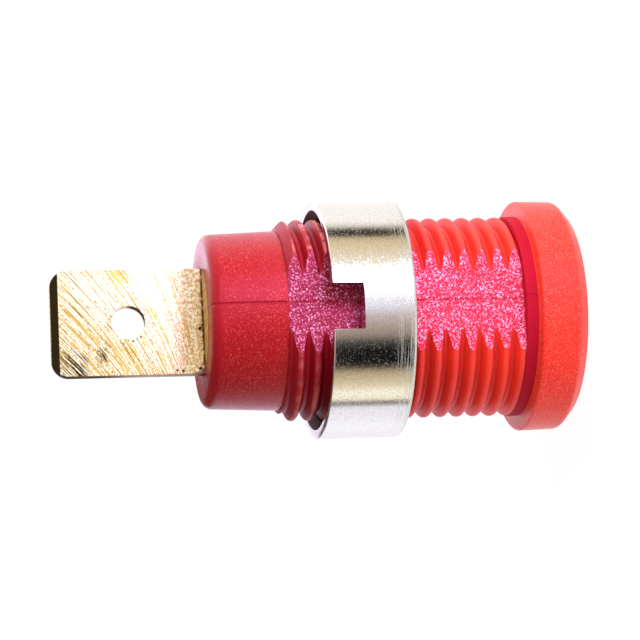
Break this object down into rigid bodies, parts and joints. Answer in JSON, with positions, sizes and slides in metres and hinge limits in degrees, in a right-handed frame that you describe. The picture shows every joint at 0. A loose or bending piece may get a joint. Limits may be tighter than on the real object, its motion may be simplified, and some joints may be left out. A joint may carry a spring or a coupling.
{
  "type": "panel-mount banana jack",
  "caption": "Insulated panel-mount socket for a 4 mm plug: red threaded housing with flats and flange, turned contact with blade terminal, slotted ring nut.",
  "frame": {"origin": "centre of the flange's front face, which the part stands on", "axes": "+Z along the socket's axis from the front face to the blade terminal; the blade's broad faces look along -Y and +Y, its width runs along X"},
  "size_m": [0.0142, 0.0142, 0.0306],
  "materials": {
    "red_plastic": "satin",
    "brass": "satin",
    "nickel_plate": "polished"
  },
  "bodies": {
    "jack": {"insulator": "red_plastic", "contact": "brass"},
    "nut": {"ring_nut": "nickel_plate"}
  },
  "joints": [
    {"name": "nut_travel", "type": "slide", "parent": "jack", "child": "nut", "axis": [0, 0, -1], "range_m": [-0.0071, 0.00735]}
  ]
}
